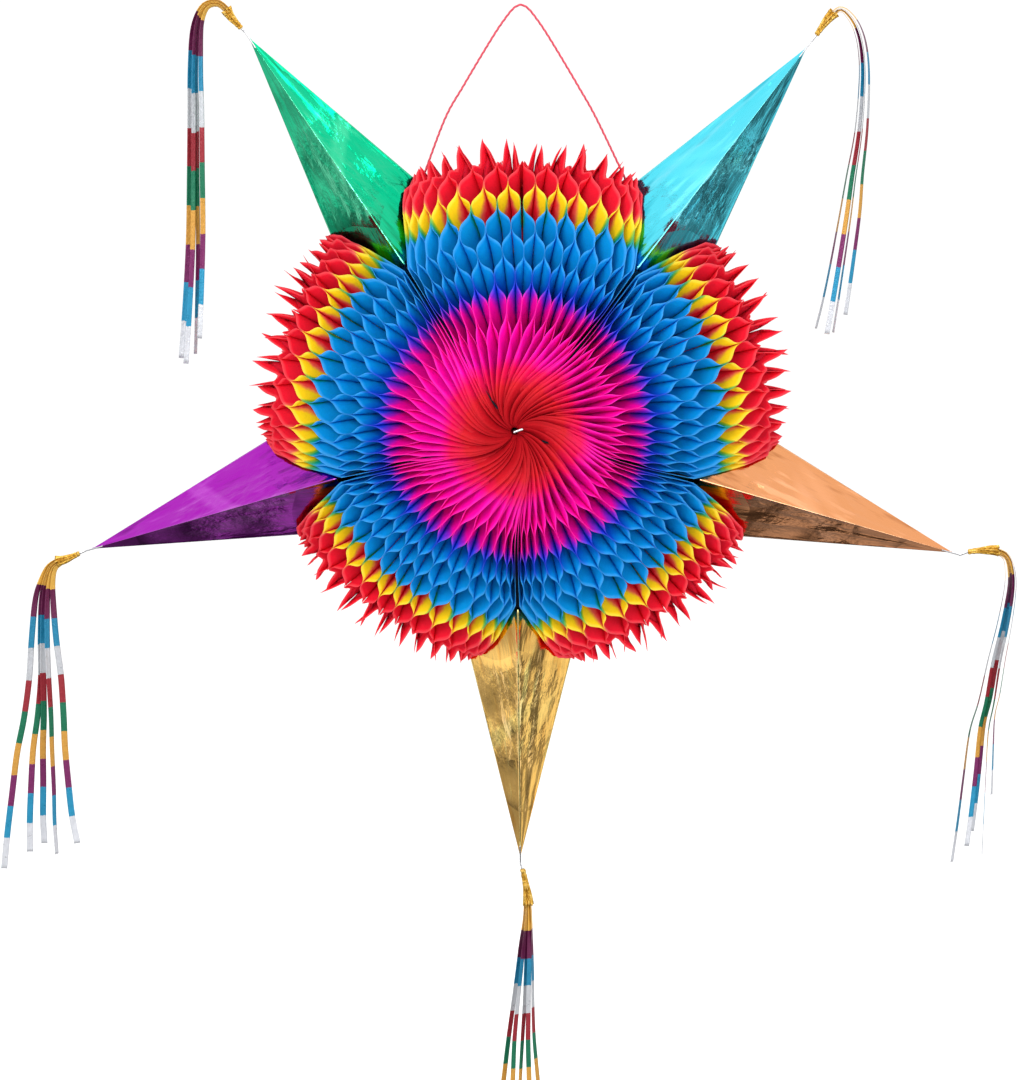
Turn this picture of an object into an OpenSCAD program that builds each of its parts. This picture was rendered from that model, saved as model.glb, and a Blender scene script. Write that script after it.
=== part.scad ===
// Fold-flat honeycomb star pinata: five fans of tissue, five foil card points and
// streamers, opened round a wire and hung by a cord loop.
// Millimetres. The origin is the top of the hanging loop, Z is up, the front faces -Y.

/* [Star] */
// distance from the star's middle to the tip of each point
tip_radius = 305; // [200:1:450]
// radius of the tissue body at its fullest
body_radius = 181; // [120:1:270]
// depth of the tissue body from front to back
body_depth = 276; // [160:1:420]
// height of the hanging loop's top above the star's middle
loop_drop = 268; // [180:1:400]

/* [Foil points] */
// radius at which the foil card points begin
cone_base = 128; // [90:1:180]
// half angle of a point seen from the side
front_angle = 19; // [14:0.5:30]
// half angle of a point seen from the front
side_angle = 13.8; // [8:0.1:22]
// thickness of the foil card
foil_wall = 0.8; // [0.4:0.1:2]

/* [Divider cards] */
// thickness of the card behind each point
card_thick = 1; // [0.6:0.1:2]
// radius at which the flat card starts
card_inner = 18; // [15:0.5:40]
// radius that the card reaches inside its point
card_reach = 200; // [150:1:240]

/* [Spine] */
// radius of the spine wire
wire_r = 0.9; // [0.6:0.05:2]
// running gap between the wire and a card's sleeve
wire_gap = 0.06; // [0.02:0.01:0.1]
// outer radius of a card's sleeve
sleeve_r = 2.6; // [2:0.1:4]
// length of one sleeve
sleeve_len = 6; // [4:0.5:10]
// step from one card's sleeve to the next
sleeve_step = 7; // [5:0.5:12]

/* [Hanging cord] */
// diameter of the hanging cord
cord_d = 1.6; // [1:0.1:3]
// radius of the knot at each end of the cord
knot_r = 2.4; // [1.5:0.1:4]

/* [Tassels] */
// width of one streamer
strip_w = 4.6; // [3:0.1:8]
// thickness of one streamer's solid
strip_t = 0.8; // [0.4:0.1:2]
// radius of the tie wire at a tip
tie_r = 0.45; // [0.3:0.05:1]

/* [Hidden] */
// the angles of the five points, anticlockwise from +X as seen from the front
teal_at = 52;
green_at = 126;
purple_at = 198;
gold_at = 270;
orange_at = 342;
half_depth = body_depth / 2;
front_slope = tan(front_angle);
side_slope = tan(side_angle);
// how far the inner pyramid stands back along the point for the wall to be foil_wall thick
wall_shift = foil_wall * sqrt(1 + 1 / pow(side_slope, 2) + 1 / pow(front_slope, 2));
lobe_gap = card_thick / 2 + 0.4;
tie_at = tip_radius - 8;
strip_step = strip_t + 0.5;
knot_at = 163;

// the hanging cord's right half from its top down, X and Z from the loop's top
cord_half = [[0, 0], [3, -1], [6, -3.5], [10, -8.5], [16, -17], [26, -33], [38, -53],
             [50, -74], [60, -92]];

// each tassel: [way that its tie points, tie length, gather length]
green_tie_spec = [129, 8, 15];
teal_tie_spec = [52, 10, 18];
purple_tie_spec = [200, 9, 16];
orange_tie_spec = [3, 10, 20];
gold_tie_spec = [279, 9, 25];

// each tassel's streamer route from the tip, X and Z
green_route = [[-15, 19], [-19, 22], [-24, 22.5], [-29, 20], [-33, 12], [-35, 0], [-36, -25],
               [-36, -50], [-36.5, -90], [-37, -134], [-39, -178], [-41, -212]];
teal_route = [[17.5, 22.5], [21, 24.5], [26, 22], [32, 13.5], [36, 0], [37.5, -20],
              [36, -54], [32, -85], [29, -111], [24, -145], [20, -170], [17, -187]];
purple_route = [[-24.5, -9.5], [-28, -13], [-32, -22], [-35, -35], [-37, -62], [-38, -89],
                [-40, -116], [-43, -140], [-45, -167], [-47, -192], [-48, -215]];
orange_route = [[31, 1.5], [35, -2], [38, -9], [39, -23], [36, -47], [31, -74], [27, -101],
                [23, -121], [21, -150], [19, -180], [17, -206]];
gold_route = [[5.5, -35], [5, -45], [4, -60], [3, -80], [1.5, -105], [0, -130], [-1, -155],
              [-2, -180], [-2, -205], [-2, -226]];
// where each streamer of a tassel ends beside that route, X, Y and Z
green_fan = [[-7, 5, 0], [-2, -4, -3], [3, 2, 3], [8, -6, 14]];
teal_fan = [[-7, 4, 2], [-2, -5, -1], [3, 1, 0], [8, -3, 12]];
purple_fan = [[-13, -4, -6], [2, 3, 4], [10, 7, 9], [20, -2, 4], [32, 5, 10]];
orange_fan = [[-12, 4, -8], [-4, -7, 6], [1, 6, 14], [5, -3, 0], [10, 2, 40]];
gold_fan = [[-15, 3, 2], [-6, -5, -1], [3, 2, -3], [11, -2, 0], [18, 6, 8]];

// ---- placing

// puts +X on the ray at angle a, with +Y along the star's axis and +Z anticlockwise
module on_ray(a) {
    translate([0, 0, -loop_drop]) rotate([0, -a, 0]) children();
}

// puts the children at the tip of the point at angle a, unturned
module at_tip(a) {
    translate([tip_radius * cos(a), 0, tip_radius * sin(a) - loop_drop]) children();
}

// a round bar along Y, centred
module bar_y(r, length) {
    rotate([90, 0, 0]) cylinder(h = length, r = r, center = true, $fn = 32);
}

// a round bar from the origin along the ray at angle a in the XZ plane
module bar_ray(a, length, r1, r2) {
    rotate([0, 90 - a, 0]) cylinder(h = length, r1 = r1, r2 = r2, $fn = 32);
}

// ---- tissue

// the fan's half section, as shares of body_radius and half_depth from the pole to the rim:
// a dimple at the pole, a round shoulder, then a nearly straight run to a sharp rim
section = [[0, 0.935], [0.033, 0.964], [0.066, 0.986], [0.11, 0.997], [0.16, 0.984],
           [0.23, 0.938], [0.31, 0.87], [0.425, 0.764], [0.528, 0.652], [0.613, 0.543],
           [0.696, 0.435], [0.776, 0.326], [0.854, 0.217], [0.928, 0.109], [0.975, 0.03]];
function body_edge(r) = half_depth * lookup(r / body_radius, section);
body_section = concat(
    [for (p = section) [body_radius * p[0], -half_depth * p[1]]],
    [for (i = [len(section) - 1 : -1 : 0])
        [body_radius * section[i][0], half_depth * section[i][1]]]
);

// a wedge from angle a to angle b, with its two sides set in by lobe_gap
module wedge(a, b) {
    m = (a + b) / 2;
    e = lobe_gap / sin((b - a) / 2);
    d = 250;
    translate([0, 0, -loop_drop]) rotate([90, 0, 0])
        linear_extrude(height = body_depth + 20, center = true)
            polygon([
                [e * cos(m), e * sin(m)],
                [e * cos(m) + d * cos(a), e * sin(m) + d * sin(a)],
                [e * cos(m) + d * cos(b), e * sin(m) + d * sin(b)]
            ]);
}

// one fan of tissue between the points at angles a and b
module lobe(a, b) {
    difference() {
        intersection() {
            translate([0, 0, -loop_drop]) rotate([90, 0, 0])
                rotate_extrude($fn = 96) polygon(body_section);
            wedge(a, b);
        }
        translate([0, 0, -loop_drop]) bar_y(sleeve_r + 1, body_depth + 20);
        on_ray(a) pyramid(tip_radius + 2.5, cone_base - 1);
        on_ray(b) pyramid(tip_radius + 2.5, cone_base - 1);
    }
}

// ---- foil points

// a four-sided pyramid along +X from base to tip, its ridges in the XY and XZ planes
module pyramid(tip, base) {
    a = (tip - base) * front_slope;
    c = (tip - base) * side_slope;
    polyhedron(
        points = [[tip, 0, 0], [base, a, 0], [base, 0, c], [base, -a, 0], [base, 0, -c]],
        faces = [[0, 2, 1], [0, 3, 2], [0, 4, 3], [0, 1, 4], [1, 2, 3, 4]]
    );
}

// the folded foil card point, open at its base and drilled near its tip for the tie
module cone_shell() {
    difference() {
        pyramid(tip_radius, cone_base);
        pyramid(tip_radius - wall_shift, cone_base - 1);
        translate([tie_at, 0, 0]) bar_y(tie_r + 0.25, 40);
    }
}

// half of that point, on one side of its middle plane
module half_cone(side) {
    intersection() {
        cone_shell();
        translate([cone_base - 5, -150, side > 0 ? 0.2 : -100.2]) cube([220, 300, 100]);
    }
}

// ---- divider cards

function card_side() = [
    for (r = [card_inner, 40, 70, 100]) [r, body_edge(r) - 3],
    [cone_base, body_edge(cone_base) - 3],
    [card_reach, (tip_radius - wall_shift - 2.4 - card_reach) * front_slope - 0.4]
];

module card_plate(z0) {
    side = card_side();
    n = len(side) - 1;
    translate([0, 0, z0]) linear_extrude(height = card_thick)
        polygon(concat(side, [for (i = [n : -1 : 0]) [side[i][0], -side[i][1]]]));
}

// a card with an arm and a sleeve at slot k in front and behind, running on the wire
module card(k, z0) {
    difference() {
        union() {
            card_plate(z0);
            for (s = [-1, 1]) translate([0, s * (60 + k * sleeve_step), 0]) {
                translate([0, -sleeve_len / 2, z0])
                    cube([card_inner + 1, sleeve_len, card_thick]);
                bar_y(sleeve_r, sleeve_len);
            }
        }
        bar_y(wire_r + wire_gap, body_depth);
    }
}

// ---- spine

module wire_end(s) {
    translate([0, s * (half_depth - 2.5), 0]) {
        sphere(r = wire_r, $fn = 32);
        rotate([0, 70, 0]) cylinder(h = 5, r = wire_r, $fn = 32);
        rotate([0, 70, 0]) translate([0, 0, 5]) sphere(r = wire_r, $fn = 32);
    }
}

// ---- cord and streamers

// the way along a route at point i, in X and Z
function along(p, i) =
    let (a = p[max(i - 1, 0)], b = p[min(i + 1, len(p) - 1)], d = b - a) d / norm(d);

function tube_faces(rings, sides) = concat(
    [[for (j = [sides - 1 : -1 : 0]) j]],
    [for (i = [0 : rings - 2], j = [0 : sides - 1])
        let (k = (j + 1) % sides, a = i * sides, b = a + sides) [a + j, a + k, b + k]],
    [for (i = [0 : rings - 2], j = [0 : sides - 1])
        let (k = (j + 1) % sides, a = i * sides, b = a + sides) [a + j, b + k, b + j]],
    [[for (j = [0 : sides - 1]) (rings - 1) * sides + j]]
);

// a round tube along a route of X and Z points
module tube(p, r) {
    sides = 8;
    points = [
        for (i = [0 : len(p) - 1], j = [0 : sides - 1])
            let (t = along(p, i), w = j * 360 / sides)
            [p[i][0] - r * sin(w) * t[1], r * cos(w), p[i][1] + r * sin(w) * t[0]]
    ];
    polyhedron(points = points, faces = tube_faces(len(p), sides));
}

// a flat strip along a route of X and Z points, the k-th from the middle of its stack,
// ending beside the route by end
module strip(p, end, k) {
    n = len(p) - 1;
    points = [
        for (i = [0 : n], j = [0 : 3])
            let (t = along(p, i), f = pow(i / n, 1.5), g = pow(i / n, 4), y = end[1] * i / n)
            let (u = k * strip_step + strip_t / 2 * [1, 1, -1, -1][j])
            let (v = strip_w / 2 * [1, -1, -1, 1][j])
            [p[i][0] + f * end[0] - u * t[1], y + v, p[i][1] + g * end[2] + u * t[0]]
    ];
    polyhedron(points = points, faces = tube_faces(n + 1, 4));
}

// ---- tassels

// the tie: a pin through the point, two legs round its ridges and a twisted stem
module tie(a, spec) {
    pin = [-8 * cos(a), 0, -8 * sin(a)];
    way = [cos(spec[0]), 0, sin(spec[0])];
    out = pin + 13 * [cos(a), 0, sin(a)];
    leg = 6.2;
    at_tip(a) {
        translate(pin) bar_y(tie_r, 2 * leg);
        for (s = [-1, 1]) {
            translate(pin + [0, s * leg, 0]) sphere(r = tie_r, $fn = 24);
            translate(pin + [0, s * leg, 0])
                rotate([0, 90 - a, 0]) rotate([s * atan(leg / 13), 0, 0])
                    cylinder(h = norm([13, leg]), r = tie_r, $fn = 24);
        }
        translate(out) sphere(r = 1.5 * tie_r, $fn = 24);
        stem = spec[1] * way - out;
        if (norm(stem) > 0.01)
            translate(out) rotate([0, 90 - atan2(stem[2], stem[0]), 0])
                cylinder(h = norm(stem), r = 1.5 * tie_r, $fn = 24);
    }
}

module gather(a, spec) {
    at_tip(a) rotate([0, 90 - spec[0], 0]) translate([0, 0, spec[1]])
        difference() {
            union() {
                cylinder(h = spec[2] * 0.3, r1 = 1.8, r2 = 2.6, $fn = 32);
                translate([0, 0, spec[2] * 0.3])
                    cylinder(h = spec[2] * 0.7 - 1, r1 = 2.6, r2 = 4.2, $fn = 32);
            }
            translate([0, 0, -1]) cylinder(h = 4, r = 1.5 * tie_r + 0.25, $fn = 24);
        }
}

module streamers(a, route, fan) {
    at_tip(a) for (i = [0 : len(fan) - 1]) strip(route, fan[i], i - (len(fan) - 1) / 2);
}

// ---- the pieces

module spine_wire() {
    color("silver") translate([0, 0, -loop_drop]) {
        bar_y(wire_r, body_depth - 5);
        wire_end(-1);
        wire_end(1);
    }
}

function mirrored(p) = [for (i = [len(p) - 1 : -1 : 0]) [-p[i][0], p[i][1]]];
// where a knot sits: just outside the side edge of the point at angle a, on side s
function knot_place(a, s) =
    let (w = s * ((tip_radius - knot_at) * side_slope + knot_r + 0.4))
    [knot_at * cos(a) - w * sin(a), knot_at * sin(a) + w * cos(a) - loop_drop];

module hanging_cord() {
    right = knot_place(teal_at, 1);
    left = knot_place(green_at, -1);
    way_r = (right - cord_half[8]) / norm(right - cord_half[8]);
    way_l = (left - [-60, -92]) / norm(left - [-60, -92]);
    color("crimson") tube(concat(
        [left - (knot_r + 0.3) * way_l],
        mirrored([for (i = [1 : 8]) cord_half[i]]),
        cord_half,
        [right - (knot_r + 0.3) * way_r]
    ), cord_d / 2);
}

module knot(p) {
    color("crimson") translate([p[0], 0, p[1]]) sphere(r = knot_r, $fn = 32);
}
module left_knot() { knot(knot_place(green_at, -1)); }
module right_knot() { knot(knot_place(teal_at, 1)); }

// the cord's way out of the tissue, with room for the two knots
module cord_channel() {
    right = knot_place(teal_at, 1);
    left = knot_place(green_at, -1);
    end = cord_half[8];
    tube([right, right + 0.5 * (end - right), end], cord_d / 2 + 0.6);
    tube([left, left + 0.5 * ([-end[0], end[1]] - left), [-end[0], end[1]]], cord_d / 2 + 0.6);
    for (p = [right, left]) translate([p[0], 0, p[1]]) sphere(r = knot_r + 0.6, $fn = 32);
}

// room beside the gold point's double card
module double_card_gap() {
    on_ray(gold_at) translate([0, -body_depth / 2 - 5, -1.45])
        cube([250, body_depth + 10, 2.9]);
}

module top_lobe() {
    color("deeppink") difference() {
        lobe(teal_at, green_at);
        cord_channel();
    }
}
module upper_left_lobe() { color("deepskyblue") lobe(green_at, purple_at); }
module lower_left_lobe() {
    color("deeppink") difference() {
        lobe(purple_at, gold_at);
        double_card_gap();
    }
}
module lower_right_lobe() {
    color("deepskyblue") difference() {
        lobe(gold_at, orange_at);
        double_card_gap();
    }
}
module upper_right_lobe() { color("hotpink") lobe(orange_at, teal_at + 360); }

module green_cone() { color("green") on_ray(green_at) cone_shell(); }
module teal_cone() { color("turquoise") on_ray(teal_at) cone_shell(); }
module purple_cone() { color("purple") on_ray(purple_at) cone_shell(); }
module orange_cone() { color("orange") on_ray(orange_at) cone_shell(); }
module gold_left_cone() { color("gold") on_ray(gold_at) half_cone(-1); }
module gold_right_cone() { color("gold") on_ray(gold_at) half_cone(1); }

module green_card() { color("green") on_ray(green_at) card(0, -card_thick / 2); }
module teal_card() { color("turquoise") on_ray(teal_at) card(1, -card_thick / 2); }
module purple_card() { color("purple") on_ray(purple_at) card(2, -card_thick / 2); }
module orange_card() { color("orange") on_ray(orange_at) card(3, -card_thick / 2); }
module gold_left_card() { color("gold") on_ray(gold_at) card(4, -card_thick - 0.15); }
module gold_right_card() {
    color("gold") on_ray(gold_at) difference() {
        card(5, 0.15);
        for (s = [-1, 1]) translate([70, s * 70, -1]) cylinder(h = 4, r = 3.3, $fn = 32);
    }
}

module stud(s) {
    color("white") on_ray(gold_at) translate([70, s * 70, -0.1])
        cylinder(h = 1.4, r = 3, $fn = 32);
}
module front_stud() { stud(-1); }
module rear_stud() { stud(1); }

module green_tie() { color("silver") tie(green_at, green_tie_spec); }
module teal_tie() { color("silver") tie(teal_at, teal_tie_spec); }
module purple_tie() { color("silver") tie(purple_at, purple_tie_spec); }
module orange_tie() { color("silver") tie(orange_at, orange_tie_spec); }
module gold_tie() { color("silver") tie(gold_at, gold_tie_spec); }

module green_gather() { color("gold") gather(green_at, green_tie_spec); }
module teal_gather() { color("gold") gather(teal_at, teal_tie_spec); }
module purple_gather() { color("gold") gather(purple_at, purple_tie_spec); }
module orange_gather() { color("gold") gather(orange_at, orange_tie_spec); }
module gold_gather() { color("gold") gather(gold_at, gold_tie_spec); }

module green_streamers() { color("tomato") streamers(green_at, green_route, green_fan); }
module teal_streamers() { color("tomato") streamers(teal_at, teal_route, teal_fan); }
module purple_streamers() { color("tomato") streamers(purple_at, purple_route, purple_fan); }
module orange_streamers() { color("tomato") streamers(orange_at, orange_route, orange_fan); }
module gold_streamers() { color("tomato") streamers(gold_at, gold_route, gold_fan); }

spine_wire();
hanging_cord();
left_knot();
right_knot();
top_lobe();
upper_left_lobe();
lower_left_lobe();
lower_right_lobe();
upper_right_lobe();
green_cone();
teal_cone();
purple_cone();
orange_cone();
gold_left_cone();
gold_right_cone();
green_card();
teal_card();
purple_card();
orange_card();
gold_left_card();
gold_right_card();
front_stud();
rear_stud();
green_tie();
teal_tie();
purple_tie();
orange_tie();
gold_tie();
green_gather();
teal_gather();
purple_gather();
orange_gather();
gold_gather();
green_streamers();
teal_streamers();
purple_streamers();
orange_streamers();
gold_streamers();
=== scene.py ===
"""Fold-flat star pinata: honeycomb tissue fans, foil card points, streamers and a cord loop."""

import logging
import math
from dataclasses import dataclass
from enum import Enum

import bpy
import numpy as np
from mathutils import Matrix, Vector

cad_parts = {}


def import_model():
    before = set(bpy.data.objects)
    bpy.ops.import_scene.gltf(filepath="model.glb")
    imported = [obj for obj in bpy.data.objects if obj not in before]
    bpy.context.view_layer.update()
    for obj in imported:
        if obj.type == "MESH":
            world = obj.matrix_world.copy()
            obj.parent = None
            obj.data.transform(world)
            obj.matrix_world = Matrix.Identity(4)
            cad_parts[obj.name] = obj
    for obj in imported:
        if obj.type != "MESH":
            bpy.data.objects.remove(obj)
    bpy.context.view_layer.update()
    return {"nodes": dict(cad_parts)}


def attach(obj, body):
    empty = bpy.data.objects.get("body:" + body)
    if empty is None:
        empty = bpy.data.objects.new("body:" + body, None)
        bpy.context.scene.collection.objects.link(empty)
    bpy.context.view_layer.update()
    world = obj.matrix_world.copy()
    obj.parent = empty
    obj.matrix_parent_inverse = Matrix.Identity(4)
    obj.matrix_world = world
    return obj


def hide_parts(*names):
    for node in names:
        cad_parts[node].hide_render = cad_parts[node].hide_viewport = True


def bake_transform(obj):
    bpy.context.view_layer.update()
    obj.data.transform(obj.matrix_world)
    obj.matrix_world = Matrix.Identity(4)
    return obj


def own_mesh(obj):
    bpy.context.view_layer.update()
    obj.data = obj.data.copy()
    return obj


LOG = logging.getLogger("pinata")
MIDDLE_Z = -0.268
TIP = 0.305
BODY = 0.181
HALF_DEPTH = 0.138
FLOOR_Z = -0.9
SHEET_THICKNESS = 0.00014
STRIP_THICKNESS = 0.00012
# the tissue's half section from the pole to the rim, as shares of BODY and HALF_DEPTH
SECTION = (
    (0.02, 0.93), (0.033, 0.955), (0.066, 0.98), (0.11, 0.993), (0.16, 0.984), (0.23, 0.938),
    (0.31, 0.87), (0.425, 0.764), (0.528, 0.652), (0.613, 0.543), (0.696, 0.435),
    (0.776, 0.326), (0.854, 0.217), (0.92, 0.109), (0.965, 0.035), (0.985, 0.0),
)


# ---------------------------------------------------------------- shared helpers


class Point(Enum):
    """The five foil points, by the angle of each as seen from the front."""

    TEAL = 52.0
    GREEN = 126.0
    PURPLE = 198.0
    GOLD = 270.0
    ORANGE = 342.0

    @property
    def word(self) -> str:
        """The point's colour in lower case, as the part's nodes use it."""
        return self.name.lower()

    @property
    def tip(self) -> np.ndarray:
        """The place of the point's tip, in metres."""
        a = math.radians(self.value)
        return np.array([TIP * math.cos(a), 0.0, TIP * math.sin(a) + MIDDLE_Z])


def grid_faces(rows: int, cols: int, closed: bool = False) -> np.ndarray:
    """Quads of a grid whose points run row by row.

    Args:
        rows: how many rows of points there are.
        cols: how many points a row has.
        closed: True if each row's last point joins its first.
    Returns:
        An array of quads, four point numbers each.
    """
    i = np.arange(rows - 1)[:, None]
    j = np.arange(cols if closed else cols - 1)[None, :]
    k = (j + 1) % cols
    quads = np.stack([i * cols + j, i * cols + k, (i + 1) * cols + k, (i + 1) * cols + j], -1)
    return quads.reshape(-1, 4)


def add_mesh(
    name: str,
    points: np.ndarray,
    faces: list,
    finish: bpy.types.Material,
    smooth: bool = True,
    values: dict | None = None,
) -> bpy.types.Object:
    """Makes a mesh object at the origin from points in the row frame.

    Args:
        name: the piece's name.
        points: its points, one row each, in metres.
        faces: its faces as lists of point numbers.
        finish: its material.
        smooth: True to shade it smooth.
        values: name to one number for each point, kept as attributes.
    Returns:
        The new object.
    """
    mesh = bpy.data.meshes.new(name)
    mesh.from_pydata(points.tolist(), [], [list(map(int, f)) for f in faces])
    mesh.polygons.foreach_set("use_smooth", np.full(len(mesh.polygons), smooth))
    for key, numbers in (values or {}).items():
        layer = mesh.attributes.new(key, "FLOAT", "POINT")
        layer.data.foreach_set("value", np.asarray(numbers, np.float32).ravel())
    mesh.materials.append(finish)
    mesh.update()
    obj = bpy.data.objects.new(name, mesh)
    bpy.context.scene.collection.objects.link(obj)
    return obj


def thicken(obj: bpy.types.Object, thickness: float) -> None:
    """Gives a one-layer sheet its thickness with a Solidify modifier.

    Args:
        obj: the sheet.
        thickness: its thickness in metres.
    """
    wall = obj.modifiers.new("thickness", "SOLIDIFY")
    wall.thickness = thickness
    wall.offset = 0.0


def round_route(points: np.ndarray, count: int) -> np.ndarray:
    """A smooth line through route points, evenly spaced along its length.

    Each stretch is a Catmull-Rom cubic, whose slope at a point runs between its neighbours.

    Args:
        points: the route's points.
        count: how many points the line has.
    Returns:
        The line's points.
    """
    padded = np.vstack([2 * points[0] - points[1], points, 2 * points[-1] - points[-2]])
    t = np.linspace(0, 1, 24, endpoint=False)[:, None]
    a, b, c, d = (padded[k : len(padded) - 3 + k][:, None] for k in range(4))
    curve = 0.5 * (
        2 * b + (c - a) * t + (2 * a - 5 * b + 4 * c - d) * t**2 + (3 * b - a - 3 * c + d) * t**3
    )
    line = np.vstack([curve.reshape(-1, 3), points[-1]])
    along = np.r_[0, np.cumsum(np.linalg.norm(np.diff(line, axis=0), axis=1))]
    at = np.linspace(0, along[-1], count)
    return np.stack([np.interp(at, along, line[:, k]) for k in range(3)], 1)


def length_of(line: np.ndarray) -> float:
    """The length of a line of points.

    Args:
        line: the points.
    Returns:
        The length in metres.
    """
    return float(np.linalg.norm(np.diff(line, axis=0), axis=1).sum())


def unit(vectors: np.ndarray) -> np.ndarray:
    """Divides each vector by its length.

    Args:
        vectors: the vectors, along the last axis.
    Returns:
        Vectors of length 1.
    """
    return vectors / np.maximum(np.linalg.norm(vectors, axis=-1, keepdims=True), 1e-12)


def frames_along(line: np.ndarray, side: np.ndarray) -> tuple[np.ndarray, np.ndarray, np.ndarray]:
    """Directions along and across a line.

    Args:
        line: the line's points.
        side: a direction that the line never runs along.
    Returns:
        The tangents, the sides made square to them, and the third directions.
    """
    tangent = unit(np.gradient(line, axis=0))
    across = unit(side - (tangent * side).sum(1, keepdims=True) * tangent)
    return tangent, across, np.cross(tangent, across)


def around(
    line: np.ndarray, one: np.ndarray, two: np.ndarray, turn: np.ndarray, radius: np.ndarray
) -> np.ndarray:
    """Points of rings about a line.

    Args:
        line: the line's points.
        one: a direction across the line at each point.
        two: the direction square to both.
        turn: the angles round a ring.
        radius: the radius by ring and angle.
    Returns:
        The points, ring by ring.
    """
    ring = one[:, None] * np.cos(turn)[None, :, None] + two[:, None] * np.sin(turn)[None, :, None]
    return (line[:, None] + ring * radius[..., None]).reshape(-1, 3)


# ---------------------------------------------------------------- finishes


class Nodes:
    """A short way to build the node tree of one material, or of the sky."""

    def __init__(self, name: str, sky: bool = False) -> None:
        """Starts an empty tree with its output.

        Args:
            name: the name of the material or sky.
            sky: True for a sky.
        """
        self.owner = (bpy.data.worlds if sky else bpy.data.materials).new(name)
        self.owner.use_nodes = True
        self.tree = self.owner.node_tree
        self.tree.nodes.clear()
        self.output = self.add("OutputWorld" if sky else "OutputMaterial")

    def add(self, kind: str, **settings: object) -> bpy.types.Node:
        """Adds a node.

        Args:
            kind: the node's type, without its ShaderNode prefix.
            settings: its own properties.
        Returns:
            The node.
        """
        node = self.tree.nodes.new("ShaderNode" + kind)
        for key, value in settings.items():
            setattr(node, key, value)
        return node

    def join(self, source: bpy.types.NodeSocket, target: bpy.types.NodeSocket) -> None:
        """Links an output to an input.

        Args:
            source: the output.
            target: the input.
        """
        self.tree.links.new(source, target)

    def feed(self, source: object, target: bpy.types.NodeSocket) -> None:
        """Links an output, or sets a plain value.

        Args:
            source: an output, or a value.
            target: the input it goes to.
        """
        if isinstance(source, bpy.types.NodeSocket):
            self.join(source, target)
        else:
            target.default_value = source

    def value(self, name: str) -> bpy.types.NodeSocket:
        """The number of a mesh attribute.

        Args:
            name: the attribute's name.
        Returns:
            Its output.
        """
        return self.add("Attribute", attribute_name=name).outputs["Fac"]

    def sum(self, kind: str, a: object, b: object, clamp: bool = False) -> bpy.types.NodeSocket:
        """Works out one number from two.

        Args:
            kind: the Math node's operation.
            a: its first output or value.
            b: its second output or value.
            clamp: True to keep the result between 0 and 1.
        Returns:
            The result's output.
        """
        node = self.add("Math", operation=kind, use_clamp=clamp)
        self.feed(a, node.inputs[0])
        self.feed(b, node.inputs[1])
        return node.outputs[0]

    def ramp(self, source: object, stops: list, steps: bool = False) -> bpy.types.NodeSocket:
        """A colour ramp.

        Args:
            source: the number that picks the colour.
            stops: places and their colours.
            steps: True to change colour sharply at each place.
        Returns:
            The colour's output.
        """
        node = self.add("ValToRGB")
        band = node.color_ramp
        band.interpolation = "CONSTANT" if steps else "LINEAR"
        while len(band.elements) < len(stops):
            band.elements.new(1.0)
        for element, (place, colour) in zip(band.elements, stops, strict=True):
            element.position = place
            element.color = (*colour, 1.0)
        self.feed(source, node.inputs[0])
        return node.outputs[0]

    def noise(
        self,
        scale: float,
        detail: float,
        stretch: tuple | None = None,
        spot: bpy.types.NodeSocket | None = None,
    ) -> bpy.types.NodeSocket:
        """Noise on Object coordinates, or on others.

        Args:
            scale: how fine it is.
            detail: how many finer layers it has.
            stretch: factors on the three axes, or None for even noise.
            spot: the coordinates' output, or None for Object coordinates.
        Returns:
            The noise's output.
        """
        spot = spot or self.add("TexCoord").outputs["Object"]
        if stretch:
            mapping = self.add("Mapping")
            mapping.inputs["Scale"].default_value = stretch
            self.join(spot, mapping.inputs["Vector"])
            spot = mapping.outputs[0]
        node = self.add("TexNoise")
        node.inputs["Scale"].default_value = scale
        node.inputs["Detail"].default_value = detail
        self.join(spot, node.inputs["Vector"])
        return node.outputs["Fac"]

    def mix(self, share: object, a: object, b: object, blend: str = "MIX") -> bpy.types.NodeSocket:
        """Mixes two colours.

        Args:
            share: how much of the second goes in.
            a: the first colour or output.
            b: the second colour or output.
            blend: the way they mix.
        Returns:
            The mixed colour's output.
        """
        node = self.add("Mix", data_type="RGBA", blend_type=blend)
        self.feed(share, node.inputs["Factor"])
        for source, target in ((a, node.inputs[6]), (b, node.inputs[7])):
            self.feed((*source, 1.0) if isinstance(source, tuple) else source, target)
        return node.outputs[2]

    def bump(self, height: object, strength: float, distance: float) -> bpy.types.NodeSocket:
        """A bumped normal.

        Args:
            height: the output that gives the height.
            strength: how much of the bump shows.
            distance: the height that 1 stands for, in metres.
        Returns:
            The normal's output.
        """
        node = self.add("Bump")
        node.inputs["Strength"].default_value = strength
        node.inputs["Distance"].default_value = distance
        self.feed(height, node.inputs["Height"])
        return node.outputs[0]

    def surface(self, **inputs: object) -> bpy.types.Node:
        """A Principled shader, joined to the output.

        Args:
            inputs: its inputs' names, with _ for a space, and their values or outputs.
        Returns:
            The shader.
        """
        shader = self.add("BsdfPrincipled")
        for key, source in inputs.items():
            target = shader.inputs[key.replace("_", " ")]
            if isinstance(source, tuple) and len(source) == 3:
                source = (*source, 1.0)
            self.feed(source, target)
        self.join(shader.outputs[0], self.output.inputs[0])
        return shader


def grey(level: float) -> tuple[float, float, float]:
    """A grey, or a plain number where a ramp needs a colour.

    Args:
        level: how bright it is.
    Returns:
        The colour.
    """
    return (level, level, level)


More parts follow.
